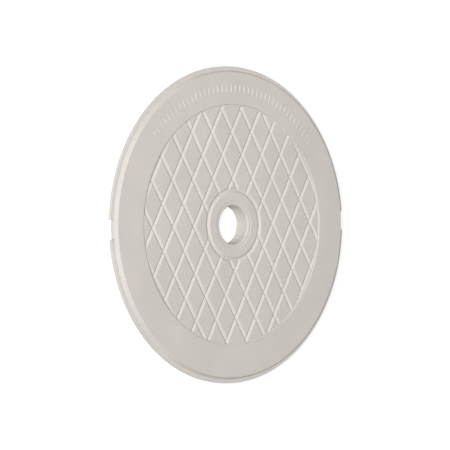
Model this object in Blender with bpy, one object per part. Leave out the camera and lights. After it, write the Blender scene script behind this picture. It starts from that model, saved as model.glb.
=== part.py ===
"""Round pool skimmer lid, injection moulded in one piece.

Metres, +Z up. The lid lies face up on its skirt and boss, with the origin under its centre.
The face has a raised margin round a recessed field of diamond pads, and a finger hole.
The underside has the seat of the flange, a locating skirt, ring ribs and radial ribs.
"""

import math

import bmesh
import bpy
from mathutils import Matrix

# Rim: a thin flange, and a leaning step up to the face
LID_DIAMETER = 0.2510
FLANGE_THICKNESS = 0.0021
FLANGE_EDGE = 0.0004
LEDGE_WIDTH = 0.0032
STEP_HEIGHT = 0.0032
STEP_LEAN = 0.0016
STEP_EDGE = 0.0007
NOTCH_WIDTH = 0.0149
NOTCH_DEPTH = 0.0030

# Face: the flat margin, the recess inside it and the moat round the pads
WALL = 0.0027
MARGIN_WIDTH = 0.0253
RECESS_DEPTH = 0.00135
RECESS_EDGE = 0.0005
RECESS_LEAN = 0.0004
MOAT_WIDTH = 0.0005
MOAT_DEPTH = 0.0004

# Diamond grooves: two families of straight grooves, each leaning from the lid's Y axis
GROOVE_PITCH = 0.0184
GROOVE_LEAN = math.radians(30.0)
GROOVE_WIDTH = 0.0036
GROOVE_FLOOR = 0.0008
GROOVE_DEPTH = 0.0009

# Finger hole: lip, shallow dish, flat land and the ring groove round them
HOLE_DIAMETER = 0.0318
HOLE_LIP = 0.0012
DISH_WIDTH = 0.0029
DISH_DEPTH = 0.0004
LAND_WIDTH = 0.0069
RING_GROOVE_WIDTH = 0.0042
RING_GROOVE_FLOOR = 0.0012
RING_GROOVE_DEPTH = 0.0011

# Underside: skirt, boss and ribs, all with the same draft
SKIRT_DEPTH = 0.0097
SKIRT_SETBACK = 0.0095
SKIRT_WALL = 0.0024
LEAD_IN = 0.0008
BOSS_WALL = 0.0030
RIB_WIDTH = 0.0020
RIB_CLEARANCE = 0.0016
RIB_COUNT = 12
RING_RIB_CLEARANCE = 0.0010
RING_RIB_COUNT = 3
DRAFT = math.radians(1.0)

# Facets round the rim and round the small circles, and how far cutters run past a face
RIM_SEGMENTS = 96
RING_GROOVE_SEGMENTS = 60
HUB_SEGMENTS = 48
OVERRUN = 0.0005

# Radii worked out from the sizes above, from the outside in
lid_radius = LID_DIAMETER / 2
step_foot = lid_radius - LEDGE_WIDTH
step_top = step_foot - STEP_LEAN
recess_rim = step_top - MARGIN_WIDTH
recess_foot = recess_rim - RECESS_LEAN
pads_radius = recess_foot - MOAT_WIDTH
skirt_outer = lid_radius - SKIRT_SETBACK
skirt_inner = skirt_outer - SKIRT_WALL
hole_radius = HOLE_DIAMETER / 2
boss_radius = hole_radius + BOSS_WALL
dish_radius = hole_radius + DISH_WIDTH
ring_groove_radius = dish_radius + LAND_WIDTH + RING_GROOVE_WIDTH / 2

# Heights worked out from the sizes above, from the skirt's lower edge up
seat_z = SKIRT_DEPTH
ledge_z = seat_z + FLANGE_THICKNESS
face_z = ledge_z + STEP_HEIGHT
land_z = face_z - RECESS_DEPTH
margin_under_z = face_z - WALL
field_under_z = land_z - WALL


def drafted(height):
    """How far a wall leans over this height."""
    return height * math.tan(DRAFT)


def clear_scene():
    for obj in list(bpy.data.objects):
        bpy.data.objects.remove(obj, do_unlink=True)


def add_object(name, mesh_builder):
    """Object made of a bmesh, with its normals out and its round faces smooth."""
    bmesh.ops.remove_doubles(mesh_builder, verts=mesh_builder.verts, dist=1e-7)
    bmesh.ops.recalc_face_normals(mesh_builder, faces=mesh_builder.faces)
    mesh = bpy.data.meshes.new(name)
    mesh_builder.to_mesh(mesh)
    mesh_builder.free()
    mesh.shade_smooth()
    mesh.set_sharp_from_angle(angle=math.radians(25))
    obj = bpy.data.objects.new(name, mesh)
    bpy.context.scene.collection.objects.link(obj)
    return obj


def turned(name, profile, segments, ring=False):
    """Solid of revolution of an (r, z) profile: a ring, or a solid with flat caps at its ends."""
    builder = bmesh.new()
    points = [builder.verts.new((r, 0, z)) for r, z in profile]
    edges = [builder.edges.new(pair) for pair in zip(points, points[1:])]
    if ring:
        edges.append(builder.edges.new((points[-1], points[0])))
    bmesh.ops.spin(
        builder,
        geom=points + edges,
        cent=(0, 0, 0),
        axis=(0, 0, 1),
        angle=2 * math.pi,
        steps=segments,
        use_merge=True,
    )
    bmesh.ops.holes_fill(builder, edges=builder.edges)
    return add_object(name, builder)


def add_bar(builder, outline, length, place):
    """Bar of a (y, z) outline, from x = 0 to its length, moved by the matrix place."""
    points = [builder.verts.new((0, y, z)) for y, z in outline]
    start = builder.faces.new(points)
    grown = bmesh.ops.extrude_face_region(builder, geom=[start])["geom"]
    end = [item for item in grown if isinstance(item, bmesh.types.BMVert)]
    bmesh.ops.translate(builder, verts=end, vec=(length, 0, 0))
    bmesh.ops.transform(builder, matrix=place, verts=points + end)


def as_guide(obj):
    """Hides a cutter or a joined shape from renders."""
    obj.hide_render = True
    obj.display_type = "WIRE"
    return obj


def combine(obj, operation, tool):
    modifier = obj.modifiers.new(f"{operation.lower()} {tool.name}", "BOOLEAN")
    modifier.operation = operation
    modifier.object = as_guide(tool)


def moulded_plastic():
    """Warm light grey ABS with the soft sheen of a fine moulded grain."""
    material = bpy.data.materials.new("moulded_plastic")
    material.use_nodes = True
    shader = material.node_tree.nodes["Principled BSDF"]
    shader.inputs["Base Color"].default_value = (0.597, 0.565, 0.527, 1)
    shader.inputs["Roughness"].default_value = 0.5
    shader.inputs["Metallic"].default_value = 0.0
    return material


def plate():
    """Face, rim and skirt as one turned section, with a whole disc where the hole comes."""
    rim_inner = step_foot - WALL
    rim_inner_lean = STEP_LEAN * (margin_under_z - seat_z) / STEP_HEIGHT
    under_step = recess_rim + WALL / 2
    skirt_lean = drafted(margin_under_z)
    profile = [
        (pads_radius, land_z),
        (pads_radius + MOAT_WIDTH / 2, land_z - MOAT_DEPTH),
        (recess_foot, land_z - MOAT_DEPTH),
        (recess_rim, face_z - RECESS_EDGE),
        (recess_rim + RECESS_EDGE, face_z),
        (step_top - STEP_EDGE, face_z),
        (step_top, face_z - STEP_EDGE),
        (step_foot, ledge_z),
        (lid_radius - FLANGE_EDGE, ledge_z),
        (lid_radius, ledge_z - FLANGE_EDGE),
        (lid_radius, seat_z),
        (rim_inner, seat_z),
        (rim_inner - rim_inner_lean, margin_under_z),
        (skirt_outer, margin_under_z),
        (skirt_outer - skirt_lean, LEAD_IN),
        (skirt_outer - skirt_lean - LEAD_IN, 0),
        (skirt_inner + skirt_lean, 0),
        (skirt_inner, margin_under_z),
        (under_step + RECESS_DEPTH, margin_under_z),
        (under_step, field_under_z),
    ]
    return turned("lid", profile + ring_ribs(), RIM_SEGMENTS)


def rib_outline(root, lower_edge):
    """Section of a rib, from its root in the plate down to its narrower edge."""
    half = RIB_WIDTH / 2
    edge = half - drafted(root - lower_edge)
    return [(half, root), (edge, lower_edge), (-edge, lower_edge), (-half, root)]


def ring_ribs():
    """Sections of the concentric ribs, evenly spaced from the skirt in to the boss."""
    gap = (skirt_inner - boss_radius) / (RING_RIB_COUNT + 1)
    outline = rib_outline(field_under_z, RING_RIB_CLEARANCE)
    return [
        (boss_radius + gap * i + r, z)
        for i in range(RING_RIB_COUNT, 0, -1)
        for r, z in outline
    ]


def boss():
    """Round post under the face, which the finger hole runs down."""
    root = field_under_z + OVERRUN
    profile = [(boss_radius, root), (boss_radius - drafted(root), 0)]
    return turned("boss", profile, HUB_SEGMENTS)


def radial_ribs():
    """Spokes from the boss's wall to the skirt's wall."""
    start = hole_radius + BOSS_WALL / 2
    length = skirt_inner + SKIRT_WALL / 2 - start
    builder = bmesh.new()
    for i in range(RIB_COUNT):
        turn = Matrix.Rotation(2 * math.pi * (i + 0.5) / RIB_COUNT, 4, "Z")
        place = turn @ Matrix.Translation((start, 0, 0))
        outline = rib_outline(margin_under_z + OVERRUN, RIB_CLEARANCE)
        add_bar(builder, outline, length, place)
    return add_object("radial_ribs", builder)


def groove_outline(width, floor, depth):
    """Section of a groove's cutter, with the sloping sides carried on above the surface."""
    above = width / 2 + OVERRUN * (width - floor) / (2 * depth)
    top = land_z + OVERRUN
    bottom = land_z - depth
    return [(-above, top), (-floor / 2, bottom), (floor / 2, bottom), (above, top)]


def groove_family(name, lean):
    """Parallel bars across the field, the middle one through the lid's centre."""
    outline = groove_outline(GROOVE_WIDTH, GROOVE_FLOOR, GROOVE_DEPTH)
    reach = recess_foot
    count = int((pads_radius - GROOVE_WIDTH / 2) / GROOVE_PITCH)
    turn = Matrix.Rotation(math.pi / 2 + lean, 4, "Z")
    builder = bmesh.new()
    for i in range(-count, count + 1):
        place = turn @ Matrix.Translation((-reach, GROOVE_PITCH * i, 0))
        add_bar(builder, outline, 2 * reach, place)
    return add_object(name, builder)


def groove_limits():
    """Ring that the grooves fill, from the middle of the ring groove to that of the moat.

    It is turned half a facet, so that its corners fall between those of the moat.
    """
    inner = ring_groove_radius
    outer = recess_foot - MOAT_WIDTH / 4
    top = land_z + 2 * OVERRUN
    bottom = field_under_z + OVERRUN
    profile = [(inner, top), (outer, top), (outer, bottom), (inner, bottom)]
    limits = turned("groove_limits", profile, RIM_SEGMENTS, ring=True)
    limits.rotation_euler.z = math.pi / RIM_SEGMENTS
    return limits


def diamond_grooves():
    """Both families as one lattice, cut off where the ring groove and the moat close it."""
    lattice = groove_family("diamond_grooves", GROOVE_LEAN)
    combine(lattice, "UNION", groove_family("crossing_grooves", -GROOVE_LEAN))
    combine(lattice, "INTERSECT", groove_limits())
    return lattice


def ring_groove():
    """Round groove that closes the diamond field in towards the finger hole."""
    outline = groove_outline(RING_GROOVE_WIDTH, RING_GROOVE_FLOOR, RING_GROOVE_DEPTH)
    profile = [(ring_groove_radius + r, z) for r, z in outline]
    return turned("ring_groove", profile, RING_GROOVE_SEGMENTS, ring=True)


def finger_hole():
    """Dish, rounded lip and bore, which widens downwards by the draft."""
    dish_z = land_z - DISH_DEPTH
    lip_z = dish_z - HOLE_LIP
    lip_middle = HOLE_LIP * (1 - math.sqrt(0.5))
    profile = [
        (dish_radius + OVERRUN, land_z + OVERRUN),
        (dish_radius - DISH_DEPTH, dish_z),
        (hole_radius + HOLE_LIP, dish_z),
        (hole_radius + lip_middle, dish_z - lip_middle),
        (hole_radius, lip_z),
        (hole_radius + drafted(lip_z), -OVERRUN),
    ]
    return turned("finger_hole", profile, HUB_SEGMENTS)


def notch(name, side):
    """Lifting notch through the flange, at 3 or 9 o'clock."""
    half = NOTCH_WIDTH / 2
    top = ledge_z + OVERRUN
    bottom = seat_z - OVERRUN
    outline = [(-half, top), (-half, bottom), (half, bottom), (half, top)]
    turn = Matrix.Rotation(0 if side > 0 else math.pi, 4, "Z")
    place = turn @ Matrix.Translation((lid_radius - NOTCH_DEPTH, 0, 0))
    builder = bmesh.new()
    add_bar(builder, outline, NOTCH_DEPTH + OVERRUN, place)
    return add_object(name, builder)


def build_lid():
    lid = plate()
    lid.data.materials.append(moulded_plastic())
    combine(lid, "UNION", radial_ribs())
    combine(lid, "UNION", boss())
    combine(lid, "DIFFERENCE", diamond_grooves())
    combine(lid, "DIFFERENCE", ring_groove())
    combine(lid, "DIFFERENCE", finger_hole())
    combine(lid, "DIFFERENCE", notch("notch_right", 1))
    combine(lid, "DIFFERENCE", notch("notch_left", -1))
    return lid


clear_scene()
build_lid()
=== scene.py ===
# %% [markdown]
# # A moulded pool skimmer lid
#
# This lesson dresses one CAD part, a round lid moulded in light grey ABS plastic. The CAD solid
# has the right size and every feature, but its grooves are plain trapezoids and its edges are
# flat bevels. Here the whole skin is worked out again as one closed mesh with rounded edges. It
# then gets a material, a floor, lights and a camera.

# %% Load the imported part
import math

import bpy
import numpy as np
from mathutils import Matrix, Vector
from mathutils.geometry import delaunay_2d_cdt


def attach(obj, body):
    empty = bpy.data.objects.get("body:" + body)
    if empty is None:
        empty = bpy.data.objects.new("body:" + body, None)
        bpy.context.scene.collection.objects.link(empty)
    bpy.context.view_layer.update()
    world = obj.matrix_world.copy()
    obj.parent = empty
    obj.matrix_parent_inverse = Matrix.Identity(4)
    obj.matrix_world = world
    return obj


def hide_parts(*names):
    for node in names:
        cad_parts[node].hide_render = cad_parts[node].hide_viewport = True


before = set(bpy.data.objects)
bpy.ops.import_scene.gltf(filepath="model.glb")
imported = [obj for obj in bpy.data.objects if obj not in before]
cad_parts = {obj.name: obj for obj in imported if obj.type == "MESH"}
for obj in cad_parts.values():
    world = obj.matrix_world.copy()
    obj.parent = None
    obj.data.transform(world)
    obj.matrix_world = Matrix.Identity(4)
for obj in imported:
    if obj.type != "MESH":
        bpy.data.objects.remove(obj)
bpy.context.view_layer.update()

# %% [markdown]
# ## The sizes of the lid
#
# A skin that stands for a CAD solid has to follow it closely, so these are lengths of the CAD
# model, in millimetres. A few on the face are finer readings of the photograph, and differ from
# the CAD by less than a millimetre: the step, the recess, the grooves and the lip of the hole.
# Only the pads' edge differs by more: it lies 1.4 mm further in, so the moat round them is wider
# and shallower. The lid lies face up, and heights count from the lower edge of its skirt.

# %% Sizes of the rim, the face and the hole
MM = 0.001

LID_RADIUS = 125.5
STEP_FOOT = 122.3
STEP_TOP = 120.7
NOTCH_FLOOR = 122.5
NOTCH_HALF = 7.45

FACE_Z = 15.0
LAND_Z = 13.95
MARGIN_UNDER_Z = 12.3
LEDGE_Z = 11.8
FIELD_UNDER_Z = 10.95
SEAT_Z = 9.7

RECESS_RIM = 95.4
RECESS_FOOT = 95.32
PADS_RADIUS = 93.1
MOAT_DEPTH = 0.15

GROOVE_PITCH = 18.4
GROOVE_LEAN = math.radians(30)
GROOVE_COUNT = 5
GROOVE_DEPTH = 1.3
GROOVE_HALF = 1.7
GROOVE_FLOOR_HALF = 0.2
GROOVE_END = 94.4
GROOVE_RUNOUT = 0.5
RING_GROOVE = 27.8
RING_DEPTH = 1.3
RING_HALF = 2.1
RING_FLOOR_HALF = 0.4

HOLE_RADIUS = 15.25
HOLE_LIP = 1.5
DISH_RADIUS = 18.8
DISH_Z = 13.6
print("the lid is", 2 * LID_RADIUS, "mm across and", FACE_Z, "mm high")

# %% Sizes of the underside
BOSS_RADIUS = 18.9
SKIRT_OUTER = 116.0
SKIRT_INNER = 113.6
RING_RIBS = [BOSS_RADIUS + (SKIRT_INNER - BOSS_RADIUS) * i / 4 for i in (1, 2, 3)]
RIB_HALF = 1.0
RING_RIB_Z = 1.0
RADIAL_RIB_Z = 1.6
RADIAL_RIB_COUNT = 12
RADIAL_RIB_START = 17.6
RADIAL_RIB_END = 114.2
DRAFT = math.tan(math.radians(1))

# Under the flange the seat ends, and the wall slopes up to the margin. Further in it slopes again,
# from the margin down to the recessed field.
SEAT_INNER = 119.6
SEAT_SLOPE_FOOT = 118.3
MARGIN_UNDER_EDGE = 98.1
FIELD_UNDER_EDGE = 96.75
print("ring ribs at", RING_RIBS, "mm from the centre")

# %% Circles where the parts of the skin meet
FACE_HUB = 23.0
FACE_EDGE = 119.0
UNDER_HUB = 17.4
UNDER_EDGE = 114.4
print("face from", FACE_HUB, "to", FACE_EDGE, "mm, underside from", UNDER_HUB, "to", UNDER_EDGE, "mm")

# %% [markdown]
# ## Rounding a section
#
# Nothing moulded has a truly sharp edge. A section is written as a few corners, each with its
# own radius, and this helper puts an arc at every corner but the first and the last. The light
# catches those arcs, and that is what makes an edge look like plastic and not like paper. Some of
# the end corners lie a little past the part that is used, and only give it its direction.


# %% Rounded sections
def unit(vector):
    """The vector divided by its length."""
    return vector / np.linalg.norm(vector)


def rounded(corners, steps=3):
    """Points along the line through corners (a, b, radius), with an arc at each inner corner.

    The line turns by some angle at a corner. The arc touches both straight runs at
    radius times the tangent of half that angle from the corner, and its centre lies one radius
    to the inner side of the first touching point.
    """
    corners = np.array(corners, float)
    points = [corners[0, :2]]
    for before, here, after in zip(corners, corners[1:], corners[2:]):
        way_in = unit(here[:2] - before[:2])
        way_out = unit(after[:2] - here[:2])
        cross = way_in[0] * way_out[1] - way_in[1] * way_out[0]
        turn = math.atan2(abs(cross), way_in @ way_out)
        radius = here[2]
        start = here[:2] - way_in * radius * math.tan(turn / 2)
        inward = math.copysign(1, cross) * np.array([-way_in[1], way_in[0]])
        for angle in np.linspace(0, turn, steps + 1 if radius else 1):
            along = way_in * math.sin(angle)
            points.append(start + radius * (along + inward * (1 - math.cos(angle))))
    points.append(corners[-1, :2])
    return np.array(points)


# %% [markdown]
# ## The face
#
# The face is worked out as a height over the plan. Everything round comes from one section, read
# at the distance from the centre: the land round the hole, the ring groove, the pads, the moat at
# the foot of the recess, and the raised margin. The diamond grooves come from a second section,
# read at the distance from the nearest groove line. Where two surfaces meet, the lower one wins.
#
# Real circles become polygons in a mesh. If the height followed the true circle, a steep wall
# would wobble along each polygon side. So the radius is measured in polygons too.

# %% Sections of the face
ROUND_STEPS = 300

face_section = rounded([
    (22.0, LAND_Z, 0),
    (RING_GROOVE - RING_HALF, LAND_Z, 0.6),
    (RING_GROOVE - RING_FLOOR_HALF, LAND_Z - RING_DEPTH, 0.5),
    (RING_GROOVE + RING_FLOOR_HALF, LAND_Z - RING_DEPTH, 0.5),
    (RING_GROOVE + RING_HALF, LAND_Z, 0.6),
    (PADS_RADIUS, LAND_Z, 0.3),
    (PADS_RADIUS + 0.6, LAND_Z - MOAT_DEPTH, 0.3),
    (RECESS_FOOT, LAND_Z - MOAT_DEPTH, 0.12),
    (RECESS_RIM, FACE_Z, 0.15),
    (STEP_TOP, FACE_Z, 0),
])
groove_section = rounded([
    (0.0, -GROOVE_DEPTH, 0),
    (GROOVE_FLOOR_HALF, -GROOVE_DEPTH, 0.35),
    (GROOVE_HALF, 0.0, 0.5),
    (GROOVE_PITCH, 0.0, 0),
])
print("points in the face's section:", len(face_section), "and in a groove's:", len(groove_section))


# %% Height of the face
def polygon_radius(x, y, sides):
    """Distance from the centre, measured so that a regular polygon counts as a circle.

    The true distance is multiplied by the cosine of the angle from the middle of the nearest
    side, and divided by that cosine at a corner.
    """
    step = 2 * math.pi / sides
    off_middle = np.arctan2(y, x) % step - step / 2
    return np.hypot(x, y) * np.cos(off_middle) / math.cos(step / 2)


def groove_depths(x, y):
    """How far the diamond grooves go down at each point.

    Each family is one line through the centre and GROOVE_COUNT lines on either side of it, a
    GROOVE_PITCH apart. The distance to the nearest line is the distance to the middle line less
    the nearest number of pitches, and the groove's section turns it into a depth.
    """
    depth = np.zeros_like(x)
    for lean in (GROOVE_LEAN, -GROOVE_LEAN):
        across = x * math.cos(lean) + y * math.sin(lean)
        nearest = np.clip(np.round(across / GROOVE_PITCH), -GROOVE_COUNT, GROOVE_COUNT)
        off_line = np.abs(across - nearest * GROOVE_PITCH)
        depth = np.minimum(depth, np.interp(off_line, *groove_section.T))
    return depth


# %% [markdown]
# ## The marks on the margin
#
# Part of the margin carries a band of small raised marks. Here they are plain round-ended bars
# that point at the centre, like a grip scale. They stand a fraction of a millimetre proud.

# %% Bars on the margin
BAR_Z = 0.38
BAR_REACH = 2.4
BAR_HALF = 0.66
BAR_SLOPE = 0.34
BAR_MIDDLE = 107.8
BAR_COUNT = 41
FIRST_BAR = 138.4
LAST_BAR = 37.2
bar_angles = np.radians(np.linspace(FIRST_BAR, LAST_BAR, BAR_COUNT))
print(BAR_COUNT, "bars from", FIRST_BAR, "to", LAST_BAR, "degrees")


def bar_distance(x, y):
    """Distance from the outline of the nearest bar, negative inside it.

    A bar is every point within BAR_HALF of a short radial segment. In the bar's own axes that is
    the length of (sideways offset, what the offset along the bar has beyond its reach).
    """
    angle = np.arctan2(y, x)
    pick = np.argmin(np.abs(angle[:, None] - bar_angles[None]), axis=1)
    cos, sin = np.cos(bar_angles[pick]), np.sin(bar_angles[pick])
    along = np.abs(x * cos + y * sin - BAR_MIDDLE)
    sideways = y * cos - x * sin
    return np.hypot(sideways, np.maximum(along - BAR_REACH, 0)) - BAR_HALF


def bar_outline(angle, grow):
    """Closed outline of one bar, moved outwards by grow.

    One end is a half circle and the other is the same one turned by half a turn. The loop is
    moved out to BAR_MIDDLE and turned to the bar's own angle.
    """
    turn = np.linspace(-math.pi / 2, math.pi / 2, 7)
    size = BAR_HALF + grow
    end = np.stack([BAR_REACH + size * np.cos(turn), size * np.sin(turn)], 1)
    loop = np.concatenate([end, -end]) + (BAR_MIDDLE, 0)
    cos, sin = math.cos(angle), math.sin(angle)
    return loop @ np.array([[cos, sin], [-sin, cos]])


def face_height(x, y):
    """Height of the face at each point of the plan.

    It is the round section, or a groove's floor where that is lower. The grooves run out over
    the last half millimetre before GROOVE_END, as a milled groove does, and the bars stand on top.
    """
    radius = polygon_radius(x, y, ROUND_STEPS)
    height = np.interp(radius, *face_section.T)
    fade = np.clip((GROOVE_END - radius) / GROOVE_RUNOUT, 0, 1) * (radius > RING_GROOVE)
    grooved = np.minimum(height, LAND_Z + groove_depths(x, y) * fade)
    raised = np.clip(-bar_distance(x, y) / BAR_SLOPE, 0, 1)
    return np.where(fade > 0, grooved, height) + BAR_Z * raised


# %% [markdown]
# ## Cutting the plan along its edges
#
# A height map needs mesh edges exactly where the surface bends, or the bends turn ragged. So the
# plan is triangulated with every bend as a line that the triangles must keep: circles, groove
# lines and bar outlines. This is a constrained Delaunay triangulation, which Blender has built in.
# The two round borders keep their own points, so that the next part of the skin can join them.


# %% Plan meshes
# Points this close, in millimetres, count as one point.
MERGE_DISTANCE = 1e-4

# A triangle whose sides have a cross product this small, in square millimetres, is left out.
NO_AREA = 1e-9


def circle(radius, angles):
    """Points at (radius times cosine, radius times sine) of each angle."""
    return radius * np.stack([np.cos(angles), np.sin(angles)], 1)


def even_angles(count):
    """Angles from 0, each a full turn divided by count after the one before."""
    return np.arange(count) * 2 * math.pi / count


def plan_mesh(hub, rim, loops, lines):
    """Triangulates the plan between two border loops.

    hub and rim are the closed borders, loops are other closed outlines, and lines are pairs of
    end points. It returns the points, the triangles, and where the hub's and rim's points are.
    A triangle's area is half the cross product of two of its sides. Where that is negative the
    triangle faces down and is turned round, and the triangles inside the hub are left out.
    """
    closed = [hub, rim] + loops
    points = np.concatenate(closed + lines)
    edges, start = [], 0
    for loop in closed:
        run = np.arange(len(loop)) + start
        edges.append(np.stack([run, np.roll(run, -1)], 1))
        start += len(loop)
    edges.append(np.arange(start, len(points)).reshape(-1, 2))
    given = [Vector(point) for point in points.tolist()]
    pairs = np.concatenate(edges).tolist()
    found, _, triangles, origins, _, _ = delaunay_2d_cdt(given, pairs, [], 0, MERGE_DISTANCE)
    owner = np.repeat(np.arange(len(found)), [len(ids) for ids in origins])
    place = np.empty(len(points), int)
    place[[index for ids in origins for index in ids]] = owner
    xy = np.array([tuple(point) for point in found], float)
    triangles = np.array(triangles)
    a, b, c = (xy[triangles[:, i]] for i in range(3))
    cross = (b - a)[:, 0] * (c - a)[:, 1] - (b - a)[:, 1] * (c - a)[:, 0]
    triangles[cross < 0] = triangles[cross < 0][:, ::-1]
    hub_radius = np.linalg.norm(hub, axis=1).min()
    inside = np.linalg.norm((a + b + c) / 3, axis=1) < hub_radius * math.cos(math.pi / len(hub))
    keep = ~inside & (np.abs(cross) > NO_AREA)
    return xy, triangles[keep], place[: len(hub)], place[len(hub) : len(hub) + len(rim)]


# %% [markdown]
# ## The outline of the rim
#
# Two shallow notches at 3 and 9 o'clock let a tool lift the lid. The rim is a strip of columns
# that goes all the way round. Away from the notches a column stands on the circle. At a notch its
# outer end follows the notch's rounded corners, and its inner end stays on the circle.

# %% Columns round the rim
NOTCH_SPAN = math.radians(4.2)
NOTCH_MOUTH_ROUND = 0.9
NOTCH_FLOOR_ROUND = 0.7
NOTCH_FLOOR_COLUMNS = 8
COLUMN_STEP = math.radians(0.75)


def notch_columns():
    """Angles of the inner ends, and outer ends, of the columns at the notch at +X.

    The path of the outer ends is rounded over one half of the notch and mirrored for the other.
    Up to the corner at the notch's floor the inner ends are spread by the length of the path, and
    from there each stands at its outer end's own angle.
    """
    corner = math.sqrt(LID_RADIUS**2 - NOTCH_HALF**2)
    begin = circle(LID_RADIUS, np.array([-NOTCH_SPAN]))[0]
    path = rounded([
        (begin[0], begin[1], 0),
        (corner, -NOTCH_HALF, NOTCH_MOUTH_ROUND),
        (NOTCH_FLOOR, -NOTCH_HALF, NOTCH_FLOOR_ROUND),
        (NOTCH_FLOOR, 0, 0),
    ])
    wall = int(np.argmax(path[:, 0] < NOTCH_FLOOR + NOTCH_FLOOR_ROUND + MERGE_DISTANCE))
    length = np.concatenate([[0], np.cumsum(np.linalg.norm(np.diff(path), axis=1))])
    anchor = np.arctan2(path[:, 1], path[:, 0])
    anchor[:wall] = np.interp(length[:wall], [0, length[wall]], [-NOTCH_SPAN, anchor[wall]])
    floor = np.linspace(path[-2], path[-1], NOTCH_FLOOR_COLUMNS)[1:-1]
    anchor = np.concatenate([anchor[:-1], np.arctan2(floor[:, 1], floor[:, 0]), anchor[-1:]])
    path = np.concatenate([path[:-1], floor, path[-1:]])
    anchor = np.concatenate([anchor, -anchor[-2::-1]])
    path = np.concatenate([path, path[-2::-1] * (1, -1)])
    return anchor, path


def rim_columns():
    """Angles of the inner ends, and outer ends, of all columns, once round from the first notch.

    The second half is the first one turned by half a turn.
    """
    anchor, path = notch_columns()
    count = round((math.pi - 2 * NOTCH_SPAN) / COLUMN_STEP)
    arc = np.linspace(NOTCH_SPAN, math.pi - NOTCH_SPAN, count + 1)[1:-1]
    half_anchor = np.concatenate([anchor, arc])
    half_path = np.concatenate([path, circle(LID_RADIUS, arc)])
    return np.concatenate([half_anchor, half_anchor + math.pi]), np.concatenate([half_path, -half_path])


column_angles, rim_path = rim_columns()
print("columns round the rim:", len(column_angles))

# %% [markdown]
# ## Grids between two borders
#
# The rim, the outside of the skirt and the finger hole are simple bands. Each is a stack of rings
# with the same number of points, and two rings next to each other are joined by triangles.


# %% Bands
FLANGE_ROUND = 0.45
SEAT_ROUND = 0.15


def ring(radius, height, angles):
    """Ring of points (x, y, z) at one height."""
    return np.column_stack([circle(radius, angles), np.full(len(angles), height)])


def band_triangles(rows):
    """Triangles between each row of point numbers and the next row, two for each pair of steps."""
    here, there = rows[:-1], rows[1:]
    here_next, there_next = np.roll(here, -1, 1), np.roll(there, -1, 1)
    first = np.stack([here, there, there_next], 2).reshape(-1, 3)
    second = np.stack([here, there_next, here_next], 2).reshape(-1, 3)
    return np.concatenate([first, second])


def inset_path(distance):
    """The rim's outline moved inwards by a distance of each point's own.

    The tangent runs from the point before to the point after. A quarter turn to the left of it
    points inwards.
    """
    tangent = np.roll(rim_path, -1, 0) - np.roll(rim_path, 1, 0)
    tangent /= np.linalg.norm(tangent, axis=1)[:, None]
    inward = np.stack([-tangent[:, 1], tangent[:, 0]], 1)
    return rim_path + inward * distance[:, None]


def rim_rings():
    """Rings from the margin over the step, the flange's edge and the skirt to its lower edge.

    The flange's two edges are quarters of a circle: the inset and the height follow the sine and
    the cosine of the turn. At a notch the ledge is narrow, so the upper edge's radius there is at
    most 0.8 times the ledge's own width.
    """
    step = rounded([(FACE_EDGE, FACE_Z, 0), (STEP_TOP, FACE_Z, 0.5), (STEP_FOOT, LEDGE_Z, 0)], 6)
    rings = [ring(radius, height, column_angles) for radius, height in step[1:]]
    ledge = np.linalg.norm(rim_path, axis=1) - STEP_FOOT
    edge = np.minimum(FLANGE_ROUND, 0.8 * ledge)
    for turn in np.linspace(0, math.pi / 2, 6):
        plan = inset_path(edge * (1 - math.sin(turn)))
        rings.append(np.column_stack([plan, LEDGE_Z - edge * (1 - math.cos(turn))]))
    for turn in np.linspace(0, math.pi / 2, 3):
        inset = np.full(len(rim_path), SEAT_ROUND * (1 - math.cos(turn)))
        height = np.full(len(rim_path), SEAT_Z + SEAT_ROUND * (1 - math.sin(turn)))
        rings.append(np.column_stack([inset_path(inset), height]))
    under = rounded([
        (121.0, SEAT_Z, 0),
        (SEAT_INNER, SEAT_Z, 0.25),
        (SEAT_SLOPE_FOOT, MARGIN_UNDER_Z, 0.3),
        (SKIRT_OUTER, MARGIN_UNDER_Z, 0.3),
        (SKIRT_OUTER - 0.2, 0.8, 0.3),
        (SKIRT_OUTER - 1.0, 0.0, 0.2),
        (UNDER_EDGE, 0.0, 0),
    ])
    return rings + [ring(radius, height, column_angles) for radius, height in under[1:-1]]


HOLE_COLUMNS = 144
hole_angles = even_angles(HOLE_COLUMNS)


def hole_rings():
    """Rings from the boss's lower edge up the bore, over the lip and the dish to the land."""
    section = rounded([
        (UNDER_HUB, 0.0, 0),
        (HOLE_RADIUS + 0.3, 0.0, 0.35),
        (HOLE_RADIUS, DISH_Z, HOLE_LIP),
        (DISH_RADIUS - 0.6, DISH_Z, 0.5),
        (DISH_RADIUS + 0.2, LAND_Z, 0.5),
        (FACE_HUB, LAND_Z, 0),
    ], 6)
    return [ring(radius, height, hole_angles) for radius, height in section[1:-1]]


print("rings over the rim:", len(rim_rings()), "and through the hole:", len(hole_rings()))


# %% [markdown]
# ## The underside
#
# The hidden side has what keeps such a lid flat and light: a wall of nearly even thickness, a skirt
# that centres the lid in its collar, a boss round the hole, and ring and radial ribs. Every wall
# leans by one degree so that the part leaves its mould. It is a height map too, seen from below.

# %% Sections of the underside
UNDER_STEPS = 240

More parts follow.
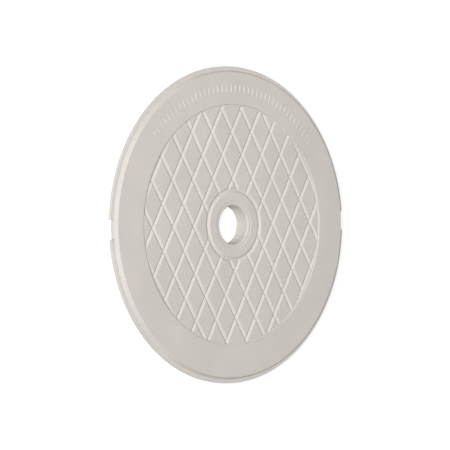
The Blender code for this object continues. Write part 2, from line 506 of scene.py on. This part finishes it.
boss_foot = BOSS_RADIUS - DRAFT * FIELD_UNDER_Z
skirt_foot = SKIRT_INNER + DRAFT * MARGIN_UNDER_Z
ring_rib_edge = RIB_HALF - DRAFT * (FIELD_UNDER_Z - RING_RIB_Z)
under_corners = [(17.0, 0, 0), (boss_foot, 0, 0.3), (BOSS_RADIUS, FIELD_UNDER_Z, 0)]
for middle in RING_RIBS:
    under_corners += [
        (middle - RIB_HALF, FIELD_UNDER_Z, 0),
        (middle - ring_rib_edge, RING_RIB_Z, 0.25),
        (middle + ring_rib_edge, RING_RIB_Z, 0.25),
        (middle + RIB_HALF, FIELD_UNDER_Z, 0),
    ]
under_corners += [
    (FIELD_UNDER_EDGE, FIELD_UNDER_Z, 0.4),
    (MARGIN_UNDER_EDGE, MARGIN_UNDER_Z, 0.4),
    (SKIRT_INNER, MARGIN_UNDER_Z, 0),
    (skirt_foot, 0, 0.25),
    (115.0, 0, 0),
]
under_section = rounded(under_corners, 3)
print("points in the underside's section:", len(under_section))

rib_root = MARGIN_UNDER_Z + 0.5
rib_edge = RIB_HALF - DRAFT * (rib_root - RADIAL_RIB_Z)
rib_section = rounded([(0, RADIAL_RIB_Z, 0), (rib_edge, RADIAL_RIB_Z, 0.25), (RIB_HALF, rib_root, 0)], 3)
rib_angles = (np.arange(RADIAL_RIB_COUNT) + 0.5) * 2 * math.pi / RADIAL_RIB_COUNT


def under_height(x, y):
    """Height of the underside: the lower of the round section and the nearest radial rib.

    The distance from a rib's middle is the distance from the centre times the sine of the angle
    from the rib.
    """
    sector = 2 * math.pi / RADIAL_RIB_COUNT
    off_rib = np.arctan2(y, x) % sector - sector / 2
    sideways = np.abs(np.hypot(x, y) * np.sin(off_rib))
    radius = polygon_radius(x, y, UNDER_STEPS)
    return np.minimum(np.interp(radius, *under_section.T), np.interp(sideways, *rib_section.T))


# %% [markdown]
# ## Lines to cut along
#
# Each section has its own bends, and these become the circles and lines of the plan. A groove
# line is cut off where the field ends, so it becomes one piece, or two if it crosses the middle.


# %% Lines of the plan
def chords(direction, offset, inner, outer):
    """Pieces of one straight line inside a ring, as pairs of end points.

    The line stands offset from the centre, so by Pythagoras it leaves a circle at the square root
    of radius squared minus offset squared along its direction.
    """
    along = np.array([math.cos(direction), math.sin(direction)])
    foot = offset * np.array([-along[1], along[0]])
    far = math.sqrt(outer**2 - offset**2)
    near = math.sqrt(max(inner**2 - offset**2, 0))
    if near == 0:
        return [np.array([foot - far * along, foot + far * along])]
    return [np.array([foot + side * near * along, foot + side * far * along]) for side in (-1, 1)]


def groove_lines():
    """Every bend of every diamond groove, on both of its sides."""
    offsets = groove_section[:-1, 0]
    offsets = offsets[offsets > 0]
    lines = []
    for lean in (GROOVE_LEAN, -GROOVE_LEAN):
        for middle in np.arange(-GROOVE_COUNT, GROOVE_COUNT + 1) * GROOVE_PITCH:
            for offset in np.concatenate([middle - offsets, middle + offsets]):
                lines += chords(lean + math.pi / 2, -offset, RING_GROOVE, GROOVE_END)
    return lines


def rib_lines():
    """Every bend of the radial ribs."""
    at_field = np.interp(FIELD_UNDER_Z, rib_section[:, 1], rib_section[:, 0])
    at_margin = np.interp(MARGIN_UNDER_Z, rib_section[:, 1], rib_section[:, 0])
    offsets = np.concatenate([rib_section[1:-1, 0], [at_field, at_margin]])
    lines = []
    for angle in rib_angles:
        for offset in np.concatenate([-offsets, offsets]):
            lines.append(chords(angle, offset, RADIAL_RIB_START, RADIAL_RIB_END)[1])
    return lines


# %% [markdown]
# ## The two plans
#
# Now both plans can be cut. The face's plan gets its circles, its groove lines and two outlines
# for each bar, one at the foot of the bar's slope and one at the top. The underside's plan gets
# its circles and its ribs. The rim's columns and the hole's columns are the borders of both.

# %% Cut the plans
round_angles = even_angles(ROUND_STEPS)
face_loops = [circle(radius, round_angles) for radius in face_section[1:-1, 0]]
face_loops += [circle(radius, round_angles) for radius in (GROOVE_END - GROOVE_RUNOUT, GROOVE_END)]
for angle in bar_angles:
    face_loops += [bar_outline(angle, 0), bar_outline(angle, -BAR_SLOPE)]
face_xy, face_triangles, face_hub, face_rim = plan_mesh(
    circle(FACE_HUB, hole_angles), circle(FACE_EDGE, column_angles), face_loops, groove_lines()
)
print("face:", len(face_xy), "points,", len(face_triangles), "triangles")

under_angles = even_angles(UNDER_STEPS)
under_loops = [circle(radius, under_angles) for radius in np.unique(under_section[1:-1, 0])]
under_xy, under_triangles, under_hub, under_rim = plan_mesh(
    circle(UNDER_HUB, hole_angles), circle(UNDER_EDGE, column_angles), under_loops, rib_lines()
)
print("underside:", len(under_xy), "points,", len(under_triangles), "triangles")


# %% [markdown]
# ## Joining the four parts
#
# The face and the underside are height maps, and the rim and the hole are bands. The bands start
# and end on the borders of the two maps, point by point, so the skin closes with no seam.


# %% Join the parts
def numbered_rings(rings, first_number):
    """Point numbers of some rings, counted on from first_number."""
    return np.arange(len(rings) * len(rings[0])).reshape(len(rings), -1) + first_number


def lid_skin():
    """Points (in millimetres) and triangles of the whole skin, facing outwards."""
    face = np.column_stack([face_xy, face_height(*face_xy.T)])
    under = np.column_stack([under_xy, under_height(*under_xy.T)])
    rim = rim_rings()
    hole = hole_rings()
    points = np.concatenate([face, under] + rim + hole)
    rim_rows = numbered_rings(rim, len(face) + len(under))
    hole_rows = numbered_rings(hole, len(face) + len(under) + rim_rows.size)
    rim_rows = np.vstack([face_rim, rim_rows, under_rim + len(face)])
    hole_rows = np.vstack([under_hub + len(face), hole_rows, face_hub])
    triangles = [
        face_triangles,
        under_triangles[:, ::-1] + len(face),
        band_triangles(rim_rows),
        band_triangles(hole_rows),
    ]
    return points, np.concatenate(triangles)


def mesh_object(name, points, triangles):
    """Object of a triangle mesh, smooth except where faces meet at more than 40 degrees."""
    mesh = bpy.data.meshes.new(name)
    mesh.from_pydata(points, [], triangles)
    mesh.validate()
    mesh.shade_smooth()
    mesh.set_sharp_from_angle(angle=math.radians(40))
    obj = bpy.data.objects.new(name, mesh)
    bpy.context.scene.collection.objects.link(obj)
    return obj


points, triangles = lid_skin()
lid_skin_object = mesh_object("lid_skin", points * MM, triangles)
weighted = lid_skin_object.modifiers.new("flat faces stay flat", "WEIGHTED_NORMAL")
weighted.keep_sharp = True
print("skin:", len(points), "points,", len(triangles), "triangles")

# %% [markdown]
# ## Moulded ABS
#
# ABS has a soft, broad sheen. Its mould is lightly sparked and it lives in sun and pool water, so
# it is nearly matt: a fine grain breaks up the highlight, and the roughness is about two thirds.
# The melt also leaves very faint cloudy changes in tone and in gloss. The recessed field is less
# smooth than the margin, so it gets a shallow ripple as well, switched on below a certain height.
#
# All sizes are lengths on the lid: the ripple is about two millimetres across, the patches of
# gloss nine, the broad waves fourteen, and the clouds nearly three centimetres. A sparked grain is
# really about a tenth of a millimetre across, too fine to show here, so it is drawn coarser, at
# nearly half a millimetre.


# %% Material helpers
def colour(code):
    """Linear colour of an sRGB hex code.

    Each channel c from 0 to 1 becomes ((c + 0.055) / 1.055) to the power 2.4, or c / 12.92 where
    it is below 0.04045.
    """
    values = [int(code[i : i + 2], 16) / 255 for i in (1, 3, 5)]
    linear = [v / 12.92 if v < 0.04045 else ((v + 0.055) / 1.055) ** 2.4 for v in values]
    return (*linear, 1.0)


def add_node(tree, kind, links=(), **values):
    """Adds a node, sets its sockets by name, and links pairs of (socket's name or number, output)."""
    node = tree.nodes.new(kind)
    for name, value in values.items():
        node.inputs[name.replace("_", " ")].default_value = value
    for name, output in links:
        tree.links.new(output, node.inputs[name])
    return node


def features(size_mm):
    """Noise scale that gives features of this size: 1 divided by the size in metres."""
    return 1 / (size_mm * MM)


# %% Material
# How wide the features are, in millimetres.
CLOUD_SIZE = 28
PATCH_SIZE = 9
WAVE_SIZE = 14
RIPPLE_SIZE = 2.2
GRAIN_SIZE = 0.45

# The height that the whole range of each noise stands for, in millimetres.
WAVE_BUMP = 0.05
RIPPLE_BUMP = 0.22
GRAIN_BUMP = 0.03

# The ripple is full up to the first height and gone from the second.
RIPPLE_FULL_Z = LAND_Z + 0.2
RIPPLE_GONE_Z = LAND_Z + 0.5

# Roughness of the glossiest and of the dullest patches.
GLOSSY = 0.64
DULL = 0.72


def moulded_abs():
    """Light warm grey ABS: cloudy tone, uneven gloss, a rippled field and a fine sparked grain."""
    material = bpy.data.materials.new("moulded_abs")
    material.use_nodes = True
    tree = material.node_tree
    shader = tree.nodes["Principled BSDF"]
    shader.inputs["IOR"].default_value = 1.53
    place = add_node(tree, "ShaderNodeTexCoord").outputs["Object"]
    scale = features(CLOUD_SIZE)
    clouds = add_node(tree, "ShaderNodeTexNoise", [("Vector", place)], Scale=scale, Detail=3)
    tone = add_node(tree, "ShaderNodeValToRGB", [("Fac", clouds.outputs["Fac"])])
    tone.color_ramp.elements[0].position = 0.35
    tone.color_ramp.elements[0].color = colour("#C7C2BB")
    tone.color_ramp.elements[1].position = 0.65
    tone.color_ramp.elements[1].color = colour("#CBC6C0")
    tree.links.new(tone.outputs["Color"], shader.inputs["Base Color"])
    scale = features(PATCH_SIZE)
    patches = add_node(tree, "ShaderNodeTexNoise", [("Vector", place)], Scale=scale, Detail=4)
    gloss = add_node(tree, "ShaderNodeMapRange", [("Value", patches.outputs["Fac"])])
    gloss.inputs["From Min"].default_value = 0.3
    gloss.inputs["From Max"].default_value = 0.7
    gloss.inputs["To Min"].default_value = GLOSSY
    gloss.inputs["To Max"].default_value = DULL
    tree.links.new(gloss.outputs["Result"], shader.inputs["Roughness"])
    scale = features(GRAIN_SIZE)
    grain = add_node(tree, "ShaderNodeTexNoise", [("Vector", place)], Scale=scale, Detail=2)
    scale = features(WAVE_SIZE)
    waves = add_node(tree, "ShaderNodeTexNoise", [("Vector", place)], Scale=scale, Detail=1)
    broad = add_node(
        tree,
        "ShaderNodeBump",
        [("Height", waves.outputs["Fac"])],
        Strength=0.3,
        Distance=WAVE_BUMP * MM,
    )
    height = add_node(tree, "ShaderNodeSeparateXYZ", [("Vector", place)]).outputs["Z"]
    in_recess = add_node(tree, "ShaderNodeMapRange", [("Value", height)])
    in_recess.inputs["From Min"].default_value = RIPPLE_FULL_Z * MM
    in_recess.inputs["From Max"].default_value = RIPPLE_GONE_Z * MM
    in_recess.inputs["To Min"].default_value = 1.0
    in_recess.inputs["To Max"].default_value = 0.0
    scale = features(RIPPLE_SIZE)
    ripple = add_node(tree, "ShaderNodeTexNoise", [("Vector", place)], Scale=scale, Detail=2)
    rippled = add_node(
        tree,
        "ShaderNodeBump",
        [
            ("Height", ripple.outputs["Fac"]),
            ("Strength", in_recess.outputs["Result"]),
            ("Normal", broad.outputs["Normal"]),
        ],
        Distance=RIPPLE_BUMP * MM,
    )
    fine = add_node(
        tree,
        "ShaderNodeBump",
        [("Height", grain.outputs["Fac"]), ("Normal", rippled.outputs["Normal"])],
        Strength=0.25,
        Distance=GRAIN_BUMP * MM,
    )
    tree.links.new(fine.outputs["Normal"], shader.inputs["Normal"])
    return material


lid_skin_object.data.materials.append(moulded_abs())
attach(lid_skin_object, "root")
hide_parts("lid")
print("the skin wears", lid_skin_object.data.materials[0].name)

# %% [markdown]
# ## Floor, light and camera
#
# The lid lies on a plain white floor. A large soft light stands to the left of the picture, so
# every groove has one bright and one dark wall. A small one above the lid evens out the far edge,
# and the world fills the shadows. The white behind the lid comes from a glow that only the camera
# and reflections see, so it hardly lights the plastic.


# %% Floor
FLOOR_HALF = 3.0


def seen_directly(tree):
    """Output that is 1 for a ray from the camera, off a glossy surface or through glass, else 0.

    It is the largest of the three numbers that the Light Path node gives for those rays.
    """
    path = add_node(tree, "ShaderNodeLightPath").outputs
    glossy_or_glass = [(0, path["Is Glossy Ray"]), (1, path["Is Transmission Ray"])]
    mirrored = add_node(tree, "ShaderNodeMath", glossy_or_glass)
    mirrored.operation = "MAXIMUM"
    camera_or_mirrored = [(0, path["Is Camera Ray"]), (1, mirrored.outputs[0])]
    direct = add_node(tree, "ShaderNodeMath", camera_or_mirrored)
    direct.operation = "MAXIMUM"
    return direct.outputs[0]


def white_floor():
    """Plain floor that looks white and keeps a pale shadow.

    What the camera and reflections see is the lit floor with a white glow added. All other light
    meets a pale grey floor with no glow, so the lid gets hardly more light from it than from a
    real table.
    """
    corners = FLOOR_HALF * np.array([(-1, -1, 0), (1, -1, 0), (1, 1, 0), (-1, 1, 0)])
    floor = mesh_object("floor", corners, np.array([(0, 1, 2), (0, 2, 3)]))
    material = bpy.data.materials.new("white_floor")
    material.use_nodes = True
    tree = material.node_tree
    tree.nodes.remove(tree.nodes["Principled BSDF"])
    lit = add_node(tree, "ShaderNodeBsdfDiffuse", Color=colour("#B4B4B4"))
    glow = add_node(tree, "ShaderNodeEmission", Color=colour("#FFFFFF"), Strength=0.7)
    shown = add_node(tree, "ShaderNodeAddShader", [(0, lit.outputs[0]), (1, glow.outputs[0])])
    grey = add_node(tree, "ShaderNodeBsdfDiffuse", Color=colour("#D0D0D0"))
    pick = [("Fac", seen_directly(tree)), (1, grey.outputs[0]), (2, shown.outputs[0])]
    surface = add_node(tree, "ShaderNodeMixShader", pick)
    tree.links.new(surface.outputs[0], tree.nodes["Material Output"].inputs["Surface"])
    floor.data.materials.append(material)


white_floor()
print("the floor is", 2 * FLOOR_HALF, "m across")


# %% Lights
def soft_light(name, place, size, watts):
    """Square area light that points at the lid. Its place and the length of its side are in metres."""
    light = bpy.data.lights.new(name, "AREA")
    light.size = size
    light.energy = watts
    obj = bpy.data.objects.new(name, light)
    obj.location = place
    obj.rotation_euler = (-Vector(place)).to_track_quat("-Z", "Y").to_euler()
    bpy.context.scene.collection.objects.link(obj)


def even_world(level):
    """Even surroundings that fill the shadows, and look white behind the floor's far edge."""
    world = bpy.data.worlds.new("studio")
    world.use_nodes = True
    tree = world.node_tree
    fill = tree.nodes["Background"]
    fill.inputs["Color"].default_value = colour("#FFFFFF")
    fill.inputs["Strength"].default_value = level
    backdrop = add_node(tree, "ShaderNodeBackground", Color=colour("#FFFFFF"), Strength=1.0)
    pick = [("Fac", seen_directly(tree)), (1, fill.outputs[0]), (2, backdrop.outputs[0])]
    surface = add_node(tree, "ShaderNodeMixShader", pick)
    tree.links.new(surface.outputs[0], tree.nodes["World Output"].inputs["Surface"])
    bpy.context.scene.world = world


soft_light("key", (-2.60, 0.14, 2.00), 1.0, 100)
soft_light("top", (0.0, 0.22, 0.75), 0.6, 1.1)
even_world(0.26)
print("lights:", [light.name for light in bpy.data.lights])

# %% [markdown]
# ## The camera
#
# The camera looks down at the lid from the left of the picture. Its place comes from the shape of
# the rim in the photograph: a circle seen at 43.15 degrees from its axis, from 1.7 metres away.
# The lens and the small shift then give the lid its size and place in the picture.

# %% Camera
# The distance is in metres, the target's height and the lens in millimetres, and the shifts are
# parts of the picture's width.
VIEW_TILT = math.radians(43.15)
VIEW_TURN = math.radians(1.72)
DISTANCE = 1.697
TARGET_Z = 12.75
LENS = 171.35
SHIFT_X = -0.0179
SHIFT_Y = -0.0005


def photo_camera():
    """Camera with the photograph's view, whose upright runs nearly along the lid's Y axis.

    The picture's right runs (cosine of tilt times cosine of turn, minus cosine of tilt times sine
    of turn, sine of tilt), its upright (sine of turn, cosine of turn, 0), and the camera stands
    back from the target along their cross product.
    """
    data = bpy.data.cameras.new("camera")
    data.sensor_width = 36.0
    data.lens = LENS
    data.shift_x = SHIFT_X
    data.shift_y = SHIFT_Y
    camera = bpy.data.objects.new("camera", data)
    along, upward = math.cos(VIEW_TILT), math.sin(VIEW_TILT)
    right = Vector((along * math.cos(VIEW_TURN), -along * math.sin(VIEW_TURN), upward))
    up = Vector((math.sin(VIEW_TURN), math.cos(VIEW_TURN), 0))
    back = right.cross(up)
    place = Vector((0, 0, TARGET_Z * MM)) + back * DISTANCE
    turned = Matrix((right, up, back)).transposed().to_4x4()
    camera.matrix_world = Matrix.Translation(place) @ turned
    bpy.context.scene.collection.objects.link(camera)
    bpy.context.scene.camera = camera
    print("camera at", [round(length, 3) for length in place], "m")


photo_camera()
bpy.context.scene.view_settings.view_transform = "Standard"
